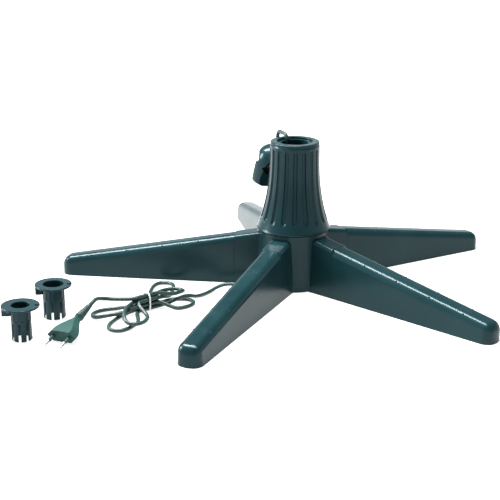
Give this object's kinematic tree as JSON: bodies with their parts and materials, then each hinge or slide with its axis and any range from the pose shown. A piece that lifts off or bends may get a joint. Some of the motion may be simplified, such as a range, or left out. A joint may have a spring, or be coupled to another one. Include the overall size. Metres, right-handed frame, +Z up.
{
  "type": "rotating christmas tree stand",
  "caption": "Motor-driven rotating tree stand with plug-in legs, a fluted turntable cone, a turning outlet, loose trunk reducers and a tied mains cord.",
  "frame": {"origin": "on the floor, on the axis of the turntable, at the middle of the base plate's underside", "axes": "+Z up along the turntable's axis; +X to the right of the view, 18 degrees clockwise of the right leg; +Y away from the viewer along the rear leg"},
  "size_m": [0.6196, 0.5196, 0.1811],
  "materials": {
    "green_shell": "satin moulded plastic, dark bottle green",
    "green_cable": "soft moulded cable sheath, dark green",
    "plug_plastic": "moulded plug, dark green",
    "bearing_steel": "ground bearing steel",
    "screw_steel": "zinc plated steel",
    "motor_steel": "drawn steel can",
    "natural_nylon": "undyed nylon",
    "contact_brass": "brass strip",
    "brush_graphite": "pressed graphite",
    "tie_white": "white coated wire",
    "pin_metal": "nickel plated pins with dark sleeves"
  },
  "bodies": {
    "stand": {"hub_body": "green_shell", "base_plate": "green_shell", "base_screws": "screw_steel", "leg_right": "green_shell", "leg_rear": "green_shell", "leg_left": "green_shell", "leg_front_left": "green_shell", "leg_front_right": "green_shell", "journal_bush": "natural_nylon", "lower_race": "bearing_steel", "motor_can": "motor_steel", "motor_mount": "motor_steel", "motor_screws": "screw_steel", "brush_holder": "natural_nylon", "brushes": "brush_graphite", "brush_springs": "bearing_steel", "terminal_block": "natural_nylon", "supply_lead": "green_cable", "cord_boot": "green_cable", "mains_cord": "green_cable", "cord_hank": "green_cable", "hank_tie": "tie_white", "plug_lead": "green_cable", "plug_boot": "green_cable", "plug_body": "plug_plastic", "plug_pins": "pin_metal", "adapter_19": "green_shell", "adapter_22": "green_shell"},
    "ball_train": {"ball_cage": "natural_nylon", "bearing_balls": "bearing_steel"},
    "motor_output": {"motor_shaft": "bearing_steel", "drive_pinion": "natural_nylon"},
    "turntable": {"rotor_cone": "green_shell", "cone_screws": "screw_steel", "trunk_tube": "green_shell", "upper_race": "bearing_steel", "drive_gear": "natural_nylon", "gear_screws": "screw_steel", "slip_ring_carrier": "natural_nylon", "slip_rings": "contact_brass", "rotor_leads": "green_cable", "output_cord": "green_cable", "outlet_neck": "green_shell", "outlet_body": "green_shell", "outlet_base": "green_shell", "outlet_contacts": "contact_brass"}
  },
  "joints": [
    {"name": "turntable_spin", "type": "hinge", "parent": "stand", "child": "turntable", "pos_m": [0, 0, 0.07], "axis": [0, 0, 1], "continuous": true},
    {"name": "ball_train_spin", "type": "hinge", "parent": "stand", "child": "ball_train", "pos_m": [0, 0, 0.07], "axis": [0, 0, 1], "continuous": true},
    {"name": "motor_output_spin", "type": "hinge", "parent": "stand", "child": "motor_output", "pos_m": [0.01237, 0.01237, 0.035], "axis": [0, 0, 1], "continuous": true}
  ],
  "couplings": [
    {"joint": "ball_train_spin", "follows": "turntable_spin", "ratio": 0.5},
    {"joint": "motor_output_spin", "follows": "turntable_spin", "ratio": 3.3333}
  ]
}
